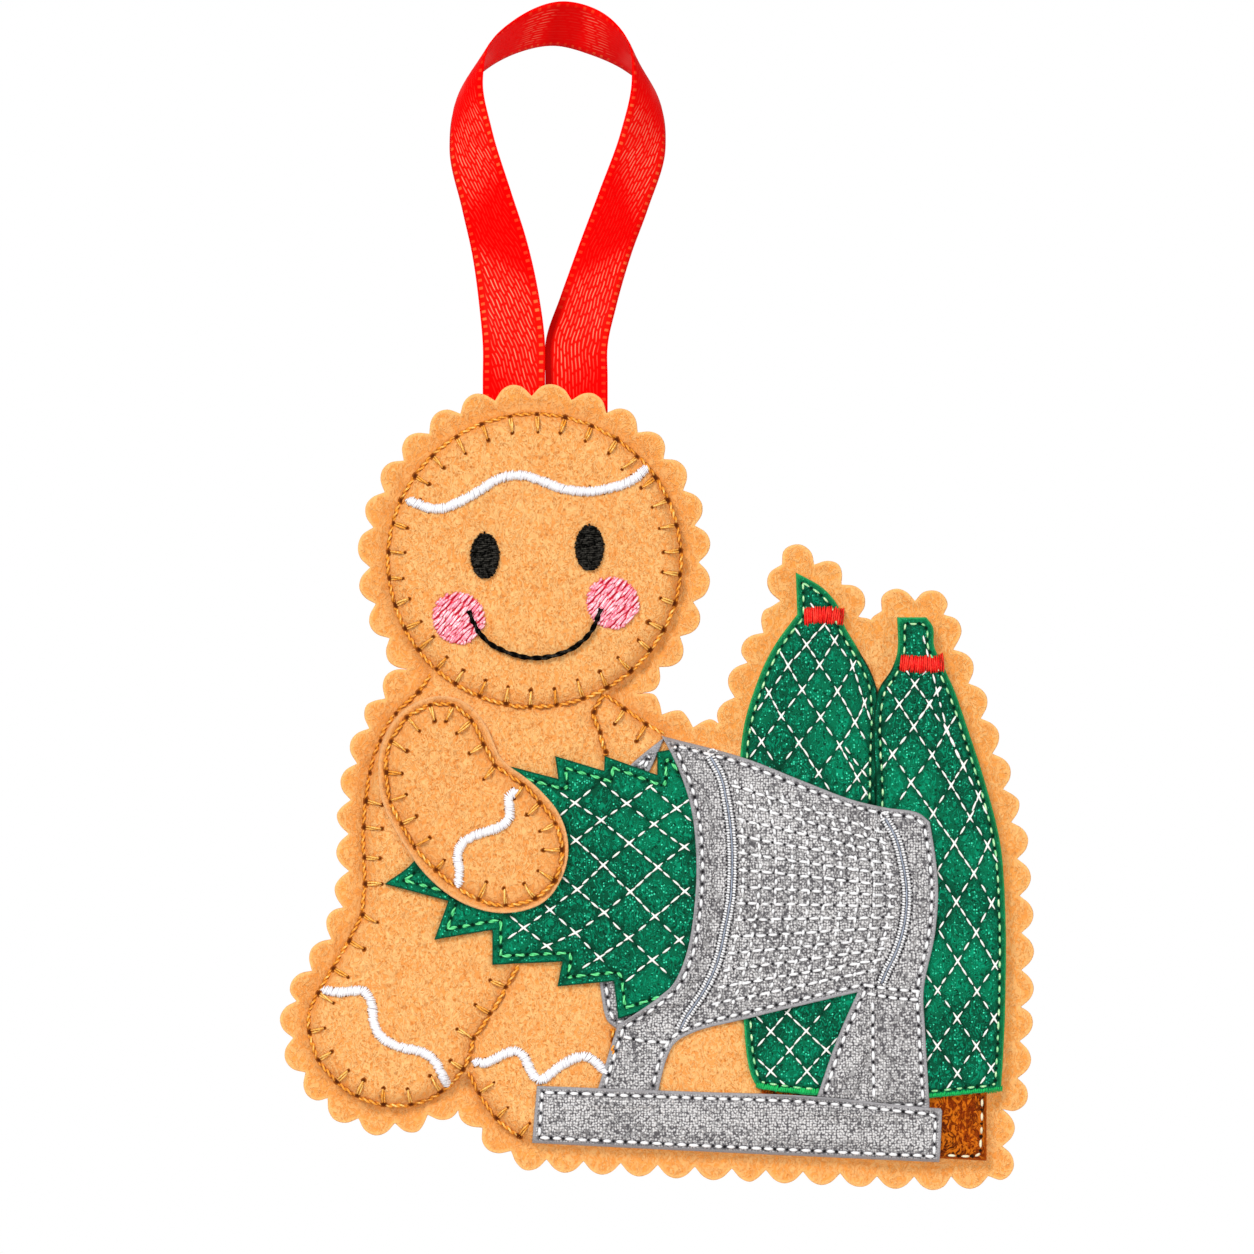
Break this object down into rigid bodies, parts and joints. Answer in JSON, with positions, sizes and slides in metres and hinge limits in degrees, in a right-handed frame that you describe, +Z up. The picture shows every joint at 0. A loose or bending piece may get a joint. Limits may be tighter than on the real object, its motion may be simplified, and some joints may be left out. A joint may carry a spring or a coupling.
{
  "type": "felt christmas ornament",
  "caption": "Stuffed felt hanging ornament with scalloped edge, sewn with a gingerbread figure pushing a netted fir into a netting machine, on a red satin ribbon loop",
  "frame": {"origin": "The point where a hook carries the ornament: the middle of the ribbon, inside the top of its loop", "axes": "+Z up, along the ornament's height; +X to the viewer's right; the sewn picture faces -Y and the plain back faces +Y"},
  "size_m": [0.1209, 0.0116, 0.1904],
  "materials": {
    "tan_felt": "pressed felt, sparkling with fine fibres",
    "wadding": "loose fibre filling",
    "red_ribbon": "satin with a diagonal weave",
    "green_felt": "felt with glitter",
    "brown_cloth": "shiny cloth with a metal thread",
    "silver_cloth": "crinkled metallic cloth",
    "silver_thread": "metallic satin stitch",
    "black_thread": "satin stitch",
    "pink_thread": "satin stitch",
    "white_thread": "cotton thread",
    "red_thread": "satin stitch",
    "gold_thread": "cotton thread"
  },
  "bodies": {
    "loop": {"ribbon_loop": "red_ribbon"},
    "ornament": {"front_felt": "tan_felt", "back_felt": "tan_felt", "wadding": "wadding", "ribbon_tail_left": "red_ribbon", "ribbon_tail_right": "red_ribbon", "trunk_left": "brown_cloth", "trunk_right": "brown_cloth", "back_tree_left": "green_felt", "back_tree_right": "green_felt", "machine_rim": "silver_cloth", "front_tree": "green_felt", "machine_cone": "silver_cloth", "machine_base": "silver_cloth", "arm": "tan_felt", "eye_left": "black_thread", "eye_right": "black_thread", "cheek_left": "pink_thread", "cheek_right": "pink_thread", "mouth": "black_thread", "icing_forehead": "white_thread", "icing_cuff": "white_thread", "icing_left_foot": "white_thread", "icing_right_foot": "white_thread", "piping_front": "silver_thread", "piping_rear": "silver_thread", "tie_left": "red_thread", "tie_right": "red_thread", "net_front": "white_thread", "net_back_left": "white_thread", "net_back_left_foot": "white_thread", "net_back_right": "white_thread", "head_stitching": "gold_thread", "body_stitching": "gold_thread", "foot_stitching": "gold_thread", "shoulder_stitching": "gold_thread", "arm_stitching": "gold_thread"}
  },
  "joints": [
    {"name": "ribbon_swing", "type": "hinge", "parent": "loop", "child": "ornament", "pos_m": [-0.0018, 0, -0.0565], "axis": [1, 0, 0], "range_deg": [-90, 90]}
  ]
}
